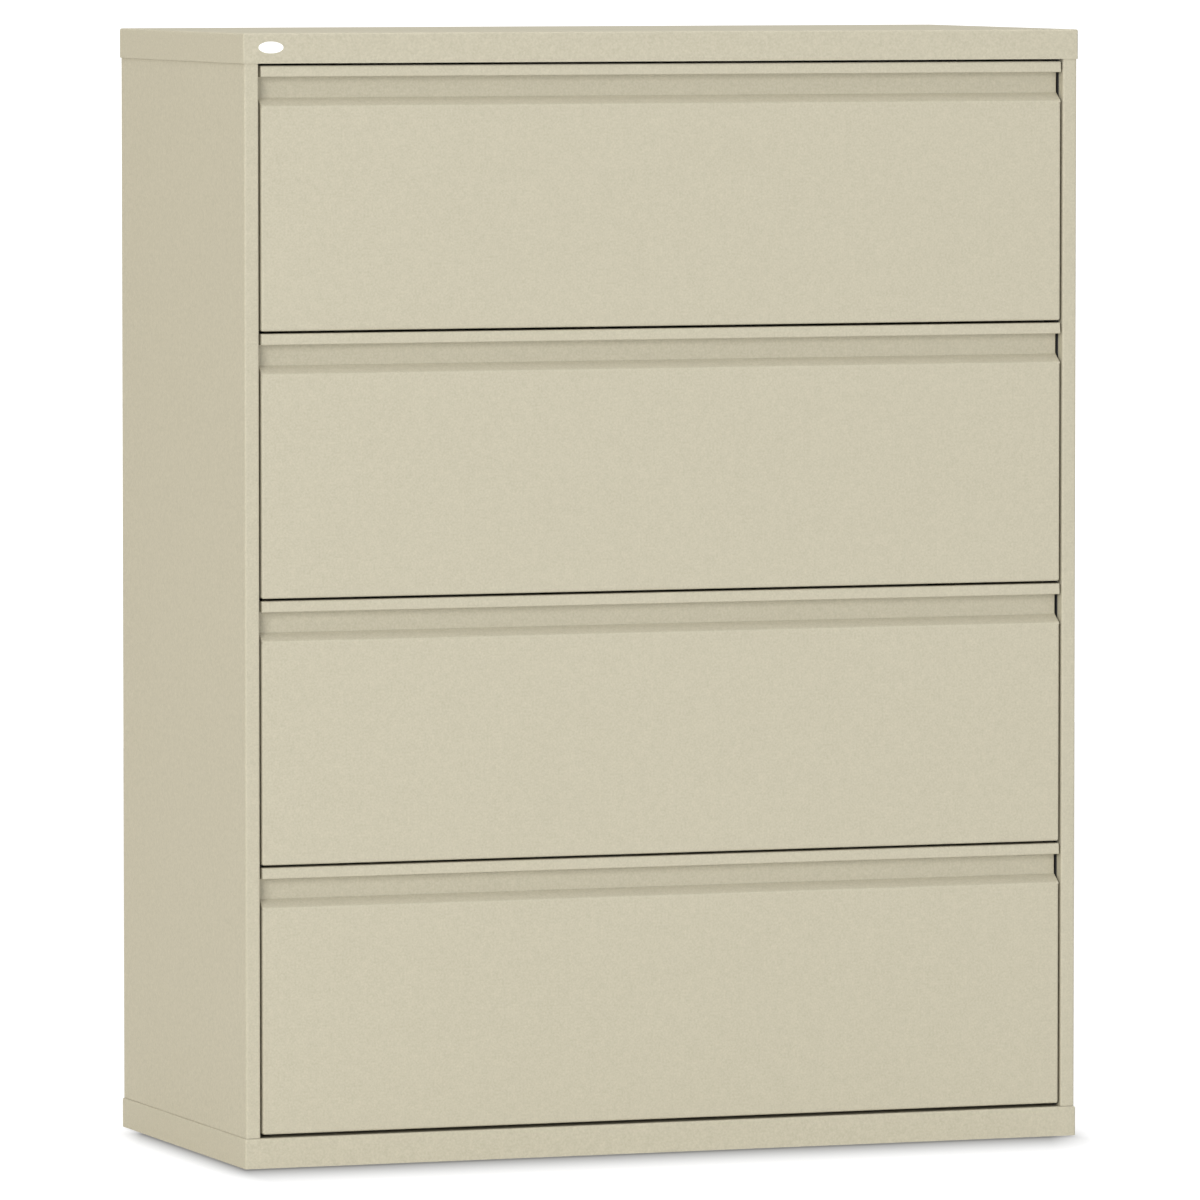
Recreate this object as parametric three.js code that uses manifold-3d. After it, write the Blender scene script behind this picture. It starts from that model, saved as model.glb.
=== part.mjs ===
// A steel lateral filing cabinet: a folded sheet case under a top cap and on a base pan, and a stack of
// full-width drawers on three-part telescoping slides. Each drawer front is one folded sheet whose upper
// edge forms a full-width pull: a lip, a set-back finger recess and a slope out to the flat panel.
// A lift bar at the rear lets only one drawer open at a time.
// Millimetres, +Z up, the front faces -Y, and the origin is on the floor under the middle of the cabinet.

import * as THREE from "three";
import { mergeVertices } from "three/addons/utils/BufferGeometryUtils.js";
import Module from "manifold-3d";

const wasm = await Module();
wasm.setup();

// Overall size, over the cap and the base, standing on the glides
const WIDTH = 1066.8;
const DEPTH = 489;
const HEIGHT = 1352.5;
const DRAWERS = 4;

// Sheet metal
const SHEET = 1.0;
const BEND = 1.5;
const WELD_EDGE = 0.25;
const SEAT_GAP = 0.3;
const RUNNING_GAP = 0.3;

// Top cap and base pan, which stand a little proud of the sides
const CAP_SKIRT = 36;
const CAP_FIT = 0.5;
const BASE_SKIRT = 36;
const FLOOR_GAP = 2;

// Folds of the side panels
const FRONT_FLANGE = 18;
const FRONT_RETURN = 14;
const REAR_FLANGE = 18;

// Gaps round the drawer fronts, and the taller bottom front
const SIDE_GAP = 3;
const TOP_GAP = 2.6;
const DRAWER_GAP = 3;
const BOTTOM_GAP = 4.2;
const BOTTOM_FRONT_EXTRA = 4;

// Folded drawer front, measured down from the top of the lip and back from its face
const FRONT_DEPTH = 22;
const LIP_HEIGHT = 13.3;
const LIP_LEAN = 0.8;
const LIP_RETURN = 18;
const RECESS_DEPTH = 15;
const RECESS_HEIGHT = 25;
const SLOPE_HEIGHT = 10;
const FRONT_HEM = 11;
const CORNER_RELIEF = 4;

// Drawer tray
const TRAY_LIFT = 16;
const TRAY_WALL = 240;
const TRAY_FLANGE = 12;
const INNER_FRONT_DROP = 3;

// Telescoping slide, from the tray side out to the upright
const SLIDE_THICKNESS = 14.5;
const SLIDE_HEIGHT = 46;
const SLIDE_LIFT = 70;
const SLIDE_SETBACK = 1.5;
const CABINET_MEMBER_SHEET = 1.5;
const MEMBER_SHEET = 1.2;
const MEMBER_BEND = 0.8;
const BALL_SPACE = 3.5;
const RACE_LIP = 2;
const BALL_STRIP_WIDTH = 3;
const STRIP_END = 12;

// Uprights that carry the slides
const UPRIGHT_SHEET = 1.5;
const UPRIGHT_WIDTH = 40;
const UPRIGHT_FOOT = 12;
const UPRIGHT_SETBACK = 6;
const HOOK_SLOT_WIDTH = 5;
const HOOK_SLOT_HEIGHT = 14;
const HOOK_SLOT_PITCH = 22;
const HOOK_SLOTS = 3;

// Interlock behind the drawers, on the left
const INTERLOCK_SPACE = 42;
const BAR_THICKNESS = 3;
const BAR_WIDTH = 31;
const BAR_LIFT = 10;
const BAR_RAMP = 20;
const BAR_HEAD = 40;
const TRACK_LIP = 4;
const TRACK_INSET = 8;
const STRIKER_PIN = 8;
const STRIKER_SHEET = 2;
const STRIKER_PLATE = 24;
const STRIKER_DROP = 110;
const STRIKER_STANDOFF = 8;

// Hang rails for hanging folders
const RAIL_SHEET = 1.5;
const RAIL_HEIGHT = 16;
const RAIL_FOOT = 10;
const RAIL_SPACING = 387;
const RAIL_END_CLEARANCE = 4;

// Counterweight plate on the base, at the rear
const WEIGHT_WIDTH = 860;
const WEIGHT_DEPTH = 135;
const WEIGHT_THICKNESS = 12;

// Levelling glides
const GLIDE_INSET = 43;
const GLIDE_FOOT_RADIUS = 18;
const GLIDE_FOOT_HEIGHT = 8;
const GLIDE_STEM_RADIUS = 4;
const GLIDE_CHAMFER = 1;
const GLIDE_STEM_PROUD = 12;
const NUT_SIDES = 6;
const NUT_RADIUS = 8;
const NUT_HEIGHT = 8;

// Planes that follow from the sizes above
const proud = SHEET + CAP_FIT;
const sideOuter = WIDTH / 2 - proud;
const sideInner = sideOuter - SHEET;
const openingHalf = sideOuter - FRONT_FLANGE;
const frontFace = -DEPTH / 2 + proud;
const rearFace = DEPTH / 2 - proud;
const backPanelFront = rearFace - SHEET - SEAT_GAP - SHEET;
const baseTop = FLOOR_GAP + BASE_SKIRT;
const capBottom = HEIGHT - CAP_SKIRT;
const caseFloor = baseTop + SEAT_GAP;
const caseCeiling = HEIGHT - SHEET - BEND;

const frontHalf = openingHalf - SIDE_GAP;
const frontStack = capBottom - baseTop - TOP_GAP - BOTTOM_GAP - (DRAWERS - 1) * DRAWER_GAP;
const frontHeight = (frontStack - BOTTOM_FRONT_EXTRA) / DRAWERS;
const frontBack = frontFace + FRONT_DEPTH;
const slopeEnd = LIP_HEIGHT + RECESS_HEIGHT + SLOPE_HEIGHT;

const uprightFace = openingHalf - RUNNING_GAP - SEAT_GAP;
const trayHalf = uprightFace - SEAT_GAP - SLIDE_THICKNESS - SEAT_GAP;
const trayFront = frontBack + SEAT_GAP;
const trayBack = backPanelFront - INTERLOCK_SPACE;
const trayBottom = -frontHeight + TRAY_LIFT;
const trayTop = trayBottom + TRAY_WALL;
const slideMiddle = trayBottom + SLIDE_LIFT;
const slideFront = trayFront + SLIDE_SETBACK;
const slideBack = trayBack - SLIDE_SETBACK;

const barPinHole = STRIKER_PIN + 2 * RUNNING_GAP;
const trackFront = trayBack + SLIDE_SETBACK + UPRIGHT_SHEET;
const barFront = trackFront + UPRIGHT_SHEET / 2 + RUNNING_GAP;
const barBack = barFront + BAR_WIDTH;
const barInner = -uprightFace + TRACK_INSET + UPRIGHT_SHEET + RUNNING_GAP + BAR_THICKNESS;
const barOuter = barInner - BAR_THICKNESS;
const pinY = barBack - barPinHole;

// Height of the top of each drawer's lip, from the top drawer down
const lipTop = (drawer) => capBottom - TOP_GAP - (drawer - 1) * (frontHeight + DRAWER_GAP);

// Solids: closed geometries joined and cut

function solidOf(geometry) {
  geometry.deleteAttribute("normal");
  geometry.deleteAttribute("uv");
  const merged = mergeVertices(geometry, 1e-4);
  const corners = [];
  for (let i = 0; i < merged.index.count; i += 3) {
    const [a, b, c] = merged.index.array.subarray(i, i + 3);
    if (a !== b && b !== c && c !== a) corners.push(a, b, c);
  }
  const vertProperties = new Float32Array(merged.attributes.position.array);
  return new wasm.Manifold(new wasm.Mesh({ numProp: 3, vertProperties, triVerts: new Uint32Array(corners) }));
}

function geometryOf(solid) {
  const mesh = solid.getMesh();
  const geometry = new THREE.BufferGeometry();
  geometry.setAttribute("position", new THREE.BufferAttribute(mesh.vertProperties, 3));
  geometry.setIndex(new THREE.BufferAttribute(mesh.triVerts, 1));
  geometry.computeVertexNormals();
  return geometry;
}

const join = (first, ...others) => others.reduce((made, other) => made.add(other), first);
const cut = (first, ...others) => others.reduce((made, other) => made.subtract(other), first);

function block(x, y, z) {
  const geometry = new THREE.BoxGeometry(x[1] - x[0], y[1] - y[0], z[1] - z[0]);
  return solidOf(geometry.translate((x[0] + x[1]) / 2, (y[0] + y[1]) / 2, (z[0] + z[1]) / 2));
}

// A flat shape pushed along one axis. The shape is drawn in (y, z) for x, (x, z) for y and (x, y) for z.
function prism(shape, axis, from, to) {
  const depth = to - from;
  const geometry = new THREE.ExtrudeGeometry(shape, { depth, bevelEnabled: false, curveSegments: 6 });
  const place = new THREE.Matrix4();
  if (axis === "x") place.set(0, 0, 1, from, 1, 0, 0, 0, 0, 1, 0, 0, 0, 0, 0, 1);
  if (axis === "y") place.set(1, 0, 0, 0, 0, 0, -1, to, 0, 1, 0, 0, 0, 0, 0, 1);
  if (axis === "z") place.makeTranslation(0, 0, from);
  return solidOf(geometry.applyMatrix4(place));
}

// The cross-section of a folded sheet that follows a path along the sheet's middle, with rounded folds.
function foldedSheet(path, sheet, bend, steps = 3) {
  const points = path.map(([u, v]) => new THREE.Vector2(u, v));
  const half = sheet / 2;
  const radius = bend + half;
  const heading = (i) => points[i + 1].clone().sub(points[i]).normalize();
  const leftOf = (direction) => new THREE.Vector2(-direction.y, direction.x);
  const left = [points[0].clone().addScaledVector(leftOf(heading(0)), half)];
  const right = [points[0].clone().addScaledVector(leftOf(heading(0)), -half)];
  for (let i = 1; i < points.length - 1; i++) {
    const before = heading(i - 1);
    const turn = Math.atan2(before.cross(heading(i)), before.dot(heading(i)));
    const hand = Math.sign(turn);
    const start = points[i].clone().addScaledVector(before, -radius * Math.tan(Math.abs(turn) / 2));
    const centre = start.clone().addScaledVector(leftOf(before), hand * radius);
    for (let step = 0; step <= steps; step++) {
      const spoke = start.clone().sub(centre).rotateAround(new THREE.Vector2(), (turn * step) / steps);
      left.push(centre.clone().addScaledVector(spoke, (radius - hand * half) / radius));
      right.push(centre.clone().addScaledVector(spoke, (radius + hand * half) / radius));
    }
  }
  const last = points.length - 1;
  left.push(points[last].clone().addScaledVector(leftOf(heading(last - 1)), half));
  right.push(points[last].clone().addScaledVector(leftOf(heading(last - 1)), -half));
  return new THREE.Shape([...left, ...right.reverse()]);
}

// A block with its upper and upright edges rounded, its top at z = 0 and its bottom at z = -height.
function roundedBlock(width, depth, height, radius) {
  const corner = radius / 4;
  const x = width / 2 - radius;
  const y = depth / 2 - radius;
  const outline = new THREE.Shape();
  outline.absarc(x - corner, y - corner, corner, 0, Math.PI / 2);
  outline.absarc(-x + corner, y - corner, corner, Math.PI / 2, Math.PI);
  outline.absarc(-x + corner, -y + corner, corner, Math.PI, (3 * Math.PI) / 2);
  outline.absarc(x - corner, -y + corner, corner, (3 * Math.PI) / 2, 2 * Math.PI);
  outline.closePath();
  const geometry = new THREE.ExtrudeGeometry(outline, {
    depth: height,
    bevelEnabled: true,
    bevelThickness: radius,
    bevelSize: radius,
    bevelSegments: 3,
    curveSegments: 2,
  });
  const rounded = solidOf(geometry.translate(0, 0, -height - radius));
  return cut(rounded, block([-width, width], [-depth, depth], [-height - 4 * radius, -height]));
}

// A shallow pan open below, folded from one sheet, its top at z = 0.
function pan(width, depth, skirt) {
  const outer = roundedBlock(width, depth, skirt, BEND + SHEET);
  const inner = roundedBlock(width - 2 * SHEET, depth - 2 * SHEET, skirt + SHEET, BEND);
  return cut(outer, inner.translate([0, 0, -SHEET]));
}

function cylinderX(radius, from, to, y, z, sides = 16) {
  const geometry = new THREE.CylinderGeometry(radius, radius, to - from, sides);
  return solidOf(geometry.rotateZ(Math.PI / 2).translate((from + to) / 2, y, z));
}

function cylinderZ(radius, from, to, x, y, sides = 16) {
  const geometry = new THREE.CylinderGeometry(radius, radius, to - from, sides);
  return solidOf(geometry.rotateX(Math.PI / 2).translate(x, y, (from + to) / 2));
}

// Finishes
const putty = new THREE.MeshStandardMaterial({ color: 0xcbc5ad, roughness: 0.55, metalness: 0.0 });
const zinc = new THREE.MeshStandardMaterial({ color: 0xb4b8bb, roughness: 0.35, metalness: 0.9 });
const blackCoat = new THREE.MeshStandardMaterial({ color: 0x202022, roughness: 0.5, metalness: 0.0 });
const darkSteel = new THREE.MeshStandardMaterial({ color: 0x3a3a3a, roughness: 0.6, metalness: 0.6 });
const blackNylon = new THREE.MeshStandardMaterial({ color: 0x1d1d1d, roughness: 0.6, metalness: 0.0 });

function piece(name, solid, material) {
  const mesh = new THREE.Mesh(geometryOf(solid), material);
  mesh.name = name;
  return mesh;
}

// Left is -1 and right is +1
const SIDES = { left: -1, right: 1 };

// Case: a side panel is one sheet folded in plan, with a front flange and return and a rear flange
function sidePanel(hand) {
  const middle = SHEET / 2;
  const path = [
    [openingHalf + middle, frontFace + FRONT_RETURN],
    [openingHalf + middle, frontFace + middle],
    [sideOuter - middle, frontFace + middle],
    [sideOuter - middle, rearFace - middle],
    [sideOuter - REAR_FLANGE, rearFace - middle],
  ];
  const plan = foldedSheet(path.map(([x, y]) => [hand * x, y]), SHEET, BEND);
  return prism(plan, "z", caseFloor, caseCeiling);
}

function backPanel() {
  const half = sideInner - BEND;
  return block([-half, half], [backPanelFront, backPanelFront + SHEET], [caseFloor, caseCeiling]);
}

// Places of the four glides
const glideX = WIDTH / 2 - GLIDE_INSET;
const glideY = DEPTH / 2 - GLIDE_INSET + BEND + SHEET;

// The base pan has a weld nut under its plate for each glide stem
function basePan() {
  let made = pan(WIDTH, DEPTH, BASE_SKIRT).translate([0, 0, baseTop]);
  const plate = baseTop - SHEET;
  for (const x of [-glideX, glideX]) {
    for (const y of [-glideY, glideY]) {
      made = join(made, cylinderZ(NUT_RADIUS, plate - NUT_HEIGHT, plate + WELD_EDGE, x, y, NUT_SIDES));
      made = cut(made, cylinderZ(GLIDE_STEM_RADIUS + RUNNING_GAP, 0, 2 * baseTop, x, y));
    }
  }
  return made;
}

// A glide is a moulded foot on a stem, turned about its own axis
function glide() {
  const shoulder = GLIDE_FOOT_HEIGHT / 2;
  const top = baseTop + GLIDE_STEM_PROUD;
  const profile = [
    [0, 0],
    [GLIDE_FOOT_RADIUS - GLIDE_CHAMFER, 0],
    [GLIDE_FOOT_RADIUS, GLIDE_CHAMFER],
    [GLIDE_FOOT_RADIUS, shoulder],
    [GLIDE_FOOT_RADIUS / 2, GLIDE_FOOT_HEIGHT],
    [GLIDE_STEM_RADIUS, GLIDE_FOOT_HEIGHT],
    [GLIDE_STEM_RADIUS, top - GLIDE_CHAMFER],
    [GLIDE_STEM_RADIUS - GLIDE_CHAMFER, top],
    [0, top],
  ];
  const geometry = new THREE.LatheGeometry(profile.map(([r, z]) => new THREE.Vector2(r, z)), 24);
  return solidOf(geometry.rotateX(Math.PI / 2));
}

function counterweight() {
  const back = trayBack - SEAT_GAP;
  const half = WEIGHT_WIDTH / 2;
  return block([-half, half], [back - WEIGHT_DEPTH, back], [caseFloor, caseFloor + WEIGHT_THICKNESS]);
}

// Uprights: hat channels against the side panels, slotted where the slides hook in
const uprightFront = { front: frontFace + FRONT_RETURN + UPRIGHT_SETBACK, rear: trackFront - UPRIGHT_WIDTH };

function hookSlots(hand, from) {
  const middle = from + UPRIGHT_WIDTH / 2;
  const slots = [];
  for (let drawer = 1; drawer <= DRAWERS; drawer++) {
    for (let i = 0; i < HOOK_SLOTS; i++) {
      const z = lipTop(drawer) + slideMiddle + (i - (HOOK_SLOTS - 1) / 2) * HOOK_SLOT_PITCH;
      const x = [hand * uprightFace - UPRIGHT_SHEET * 2, hand * uprightFace + UPRIGHT_SHEET * 2];
      const y = [middle - HOOK_SLOT_WIDTH / 2, middle + HOOK_SLOT_WIDTH / 2];
      slots.push(block(x, y, [z - HOOK_SLOT_HEIGHT / 2, z + HOOK_SLOT_HEIGHT / 2]));
    }
  }
  return slots;
}

function upright(hand, from) {
  const middle = UPRIGHT_SHEET / 2;
  const foot = sideInner - SEAT_GAP - middle;
  const face = uprightFace + middle;
  const to = from + UPRIGHT_WIDTH;
  const path = [
    [foot, from - UPRIGHT_FOOT],
    [foot, from],
    [face, from],
    [face, to],
    [foot, to],
    [foot, to + UPRIGHT_FOOT],
  ];
  const plan = foldedSheet(path.map(([x, y]) => [hand * x, y]), UPRIGHT_SHEET, BEND, 2);
  return cut(prism(plan, "z", caseFloor, caseCeiling), ...hookSlots(hand, from));
}

// The rear left upright carries the track in which the interlock bar slides
function trackUpright() {
  const middle = UPRIGHT_SHEET / 2;
  const lip = barInner + RUNNING_GAP + middle;
  const web = barOuter - RUNNING_GAP - middle;
  const rear = barBack + RUNNING_GAP + middle;
  const front = [
    [lip, trackFront + TRACK_LIP],
    [lip, trackFront],
    [-uprightFace - middle, trackFront],
  ];
  const back = [
    [web, trackFront],
    [web, rear],
    [lip, rear],
    [lip, rear - TRACK_LIP],
  ];
  const sheets = [front, back].map((path) => foldedSheet(path, UPRIGHT_SHEET, MEMBER_BEND, 2));
  const channel = sheets.map((plan) => prism(plan, "z", caseFloor, caseCeiling));
  const pinDoors = [];
  for (let drawer = 1; drawer <= DRAWERS; drawer++) {
    const z = lipTop(drawer) - STRIKER_DROP;
    const x = [barOuter - RUNNING_GAP, lip + UPRIGHT_SHEET];
    const y = [trackFront - UPRIGHT_SHEET, trackFront + TRACK_LIP + UPRIGHT_SHEET];
    pinDoors.push(block(x, y, [z - barPinHole, z + barPinHole]));
  }
  return cut(join(upright(-1, uprightFront.rear), ...channel), ...pinDoors);
}

// Interlock bar: each drawer's pin rests at the top of its pocket. A drawer that opens drives its pin down
// the ramp and out, which lifts the bar, so that every other pin is caught at the bottom of its pocket.
function camSlot(z) {
  const path = [
    [pinY, z],
    [pinY - BAR_RAMP, z - BAR_LIFT],
    [barFront - barPinHole, z - BAR_LIFT],
  ];
  const around = [barOuter - BAR_THICKNESS, barInner + BAR_THICKNESS];
  const pocket = new THREE.Shape();
  pocket.absarc(pinY, z, barPinHole / 2, 0, Math.PI);
  pocket.absarc(pinY, z - BAR_LIFT, barPinHole / 2, Math.PI, 2 * Math.PI);
  pocket.closePath();
  const ramp = foldedSheet(path, barPinHole, RUNNING_GAP, 4);
  return join(prism(pocket, "x", ...around), prism(ramp, "x", ...around));
}

function interlockBar() {
  const top = lipTop(1) - STRIKER_DROP + BAR_HEAD;
  const slots = [];
  for (let drawer = 1; drawer <= DRAWERS; drawer++) slots.push(camSlot(lipTop(drawer) - STRIKER_DROP));
  return cut(block([barOuter, barInner], [barFront, barBack], [caseFloor, top]), ...slots);
}

// Drawer front: one sheet folded into lip, recess, slope and panel, with returns at its sides and bottom.
// A small return closes each end of the lip.
function drawerFront(height) {
  const middle = SHEET / 2;
  const fold = BEND + SHEET;
  const at = (back, down) => [frontFace + back, -down];
  const upper = [
    at(FRONT_DEPTH - middle, FRONT_HEM),
    at(FRONT_DEPTH - middle, middle),
    at(LIP_LEAN + middle, middle),
    at(middle, LIP_HEIGHT - middle),
    at(RECESS_DEPTH + middle, LIP_HEIGHT - middle),
    at(RECESS_DEPTH + middle, LIP_HEIGHT + RECESS_HEIGHT),
    at(middle, slopeEnd),
    at(middle, slopeEnd + 2 * fold),
  ];
  const lower = [
    at(middle, height - 2 * fold),
    at(middle, height - middle),
    at(FRONT_DEPTH - middle, height - middle),
    at(FRONT_DEPTH - middle, height - FRONT_HEM),
  ];
  const across = [
    [-frontHalf + middle, frontBack],
    [-frontHalf + middle, frontFace + middle],
    [frontHalf - middle, frontFace + middle],
    [frontHalf - middle, frontBack],
  ];
  const inset = frontHalf - CORNER_RELIEF;
  const lipEnds = Object.values(SIDES).map((hand) => {
    const x = [hand * frontHalf, hand * (frontHalf - SHEET)].sort((a, b) => a - b);
    return block(x, [frontFace + 2 * SHEET, frontFace + LIP_RETURN], [-LIP_HEIGHT + middle, -middle]);
  });
  return join(
    ...lipEnds,
    prism(foldedSheet(upper, SHEET, BEND), "x", -frontHalf, frontHalf),
    prism(foldedSheet(across, SHEET, BEND), "z", -height + fold, -slopeEnd - fold),
    prism(foldedSheet(lower, SHEET, BEND), "x", -inset, inset),
  );
}

// Drawer tray: floor and sides folded as one sheet, with a back and an inner front let in between them
function drawerTray() {
  const middle = SHEET / 2;
  const side = trayHalf - middle;
  const across = [
    [-side + TRAY_FLANGE, trayTop - middle],
    [-side, trayTop - middle],
    [-side, trayBottom + middle],
    [side, trayBottom + middle],
    [side, trayTop - middle],
    [side - TRAY_FLANGE, trayTop - middle],
  ];
  const back = [
    [trayBack - TRAY_FLANGE, trayTop - middle],
    [trayBack - middle, trayTop - middle],
    [trayBack - middle, trayBottom + WELD_EDGE],
  ];
  const half = trayHalf - SHEET + WELD_EDGE;
  const frontSheet = [trayFront, trayFront + SHEET];
  return join(
    prism(foldedSheet(across, SHEET, BEND), "y", trayFront, trayBack),
    prism(foldedSheet(back, SHEET, BEND), "x", -half, half),
    block([-half, half], frontSheet, [trayBottom + WELD_EDGE, -INNER_FRONT_DROP]),
  );
}

// Hang rail: an angle across the tray, its foot on the side flanges and its upright leg under the folders
function hangRail(faceY, hand) {
  const middle = RAIL_SHEET / 2;
  const seat = trayTop + SEAT_GAP + middle;
  const half = trayHalf - RAIL_END_CLEARANCE;
  const path = [
    [faceY + hand * (middle + RAIL_FOOT), seat],
    [faceY + hand * middle, seat],
    [faceY + hand * middle, seat - middle + RAIL_HEIGHT],
  ];
  return prism(foldedSheet(path, RAIL_SHEET, BEND, 2), "x", -half, half);
}

// Interlock striker: a plate on the tray's back, an arm to the rear and the pin that runs in the bar
function interlockStriker() {
  const z = -STRIKER_DROP;
  const pinRadius = STRIKER_PIN / 2;
  const plate = [trayBack + SEAT_GAP, trayBack + SEAT_GAP + STRIKER_SHEET];
  const arm = barInner + STRIKER_STANDOFF;
  const reach = pinY + pinRadius;
  const height = [z - STRIKER_PLATE / 2, z + STRIKER_PLATE / 2];
  return join(
    block([arm, arm + STRIKER_PLATE], plate, height),
    block([arm, arm + STRIKER_SHEET], [plate[0], reach], [z - pinRadius, z + pinRadius]),
    cylinderX(pinRadius, barOuter, arm + STRIKER_SHEET / 2, pinY, z),
  );
}

// Slide members, drawn for the right side in (x, z) about the slide's middle
const cabinetWeb = trayHalf + SEAT_GAP + SLIDE_THICKNESS - CABINET_MEMBER_SHEET / 2;
const carriageWeb = cabinetWeb - CABINET_MEMBER_SHEET / 2 - RUNNING_GAP - MEMBER_SHEET / 2;
const drawerWeb = trayHalf + SEAT_GAP + MEMBER_SHEET / 2;
const cabinetFlange = SLIDE_HEIGHT / 2 - CABINET_MEMBER_SHEET / 2;
const carriageFlange = cabinetFlange - CABINET_MEMBER_SHEET / 2 - BALL_SPACE - MEMBER_SHEET / 2;
const drawerFlange = carriageFlange - MEMBER_SHEET - BALL_SPACE;
const cabinetEdge = drawerWeb + MEMBER_SHEET + CABINET_MEMBER_SHEET / 2;
const carriageEdge = drawerWeb + MEMBER_SHEET + RUNNING_GAP + MEMBER_SHEET / 2;
const drawerEdge = carriageWeb - MEMBER_SHEET - RUNNING_GAP - MEMBER_SHEET / 2;

// A channel with its flanges turned in at the edges, as the ball races are
function raceChannel(hand, web, edge, flange, sheet, from, to) {
  const path = [
    [edge, flange - RACE_LIP],
    [edge, flange],
    [web, flange],
    [web, -flange],
    [edge, -flange],
    [edge, -flange + RACE_LIP],
  ];
  return prism(foldedSheet(path.map(([x, z]) => [hand * x, z]), sheet, MEMBER_BEND, 2), "y", from, to);
}

const cabinetMember = (hand) =>
  raceChannel(hand, cabinetWeb, cabinetEdge, cabinetFlange, CABINET_MEMBER_SHEET, slideFront, slideBack);

function drawerMember(hand) {
  const path = [
    [drawerEdge, drawerFlange],
    [drawerWeb, drawerFlange],
    [drawerWeb, -drawerFlange],
    [drawerEdge, -drawerFlange],
  ];
  const section = foldedSheet(path.map(([x, z]) => [hand * x, z]), MEMBER_SHEET, MEMBER_BEND, 2);
  return prism(section, "y", slideFront, slideBack);
}

// The middle member carries the ball strips: the rear half runs in the cabinet member, and the front half
// carries the drawer member, so both stay in hold at full travel.
function middleMember(hand) {
  const halfway = (slideFront + slideBack) / 2;
  const stripMiddle = (carriageWeb + carriageEdge) / 2;
  const across = [stripMiddle - BALL_STRIP_WIDTH / 2, stripMiddle + BALL_STRIP_WIDTH / 2];
  const x = across.map((value) => hand * value).sort((a, b) => a - b);
  const outer = [carriageFlange, carriageFlange + MEMBER_SHEET / 2 + BALL_SPACE - RUNNING_GAP];
  const inner = [carriageFlange - MEMBER_SHEET / 2 - BALL_SPACE + RUNNING_GAP, carriageFlange];
  const mirrored = ([low, high]) => [-high, -low];
  const rear = [halfway, slideBack - STRIP_END];
  const front = [slideFront + STRIP_END, halfway];
  return join(
    raceChannel(hand, carriageWeb, carriageEdge, carriageFlange, MEMBER_SHEET, slideFront, slideBack),
    block(x, rear, outer),
    block(x, rear, mirrored(outer)),
    block(x, front, inner),
    block(x, front, mirrored(inner)),
  );
}

// Assembly
const cabinet = new THREE.Group();
for (const [side, hand] of Object.entries(SIDES)) {
  cabinet.add(piece(`${side}_side_panel`, sidePanel(hand), putty));
  cabinet.add(piece(`front_${side}_upright`, upright(hand, uprightFront.front), blackCoat));
}
cabinet.add(piece("rear_left_upright", trackUpright(), blackCoat));
cabinet.add(piece("rear_right_upright", upright(SIDES.right, uprightFront.rear), blackCoat));
cabinet.add(piece("back_panel", backPanel(), putty));
cabinet.add(piece("top_cap", pan(WIDTH, DEPTH, CAP_SKIRT).translate([0, 0, HEIGHT]), putty));
cabinet.add(piece("base_pan", basePan(), putty));
cabinet.add(piece("counterweight", counterweight(), darkSteel));
cabinet.add(piece("interlock_bar", interlockBar(), zinc));

for (const [side, hand] of Object.entries(SIDES)) {
  for (const [end, away] of Object.entries({ front: -1, rear: 1 })) {
    const foot = piece(`${end}_${side}_glide`, glide(), blackNylon);
    foot.position.set(hand * glideX, away * glideY, 0);
    cabinet.add(foot);
  }
}

const railMiddle = (trayFront + SHEET + trayBack - SHEET) / 2;
for (let drawer = 1; drawer <= DRAWERS; drawer++) {
  const name = `drawer_${drawer}`;
  const assembly = new THREE.Group();
  assembly.position.z = lipTop(drawer);
  const height = frontHeight + (drawer === DRAWERS ? BOTTOM_FRONT_EXTRA : 0);
  assembly.add(piece(`${name}_front`, drawerFront(height), putty));
  assembly.add(piece(`${name}_tray`, drawerTray(), putty));
  assembly.add(piece(`${name}_front_hang_rail`, hangRail(railMiddle - RAIL_SPACING / 2, -1), zinc));
  assembly.add(piece(`${name}_rear_hang_rail`, hangRail(railMiddle + RAIL_SPACING / 2, 1), zinc));
  assembly.add(piece(`${name}_interlock_striker`, interlockStriker(), zinc));
  for (const [side, hand] of Object.entries(SIDES)) {
    const slide = new THREE.Group();
    slide.position.z = slideMiddle;
    slide.add(piece(`${name}_${side}_cabinet_member`, cabinetMember(hand), zinc));
    slide.add(piece(`${name}_${side}_middle_member`, middleMember(hand), zinc));
    slide.add(piece(`${name}_${side}_drawer_member`, drawerMember(hand), zinc));
    assembly.add(slide);
  }
  cabinet.add(assembly);
}

export default cabinet;
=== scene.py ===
import math

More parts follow.
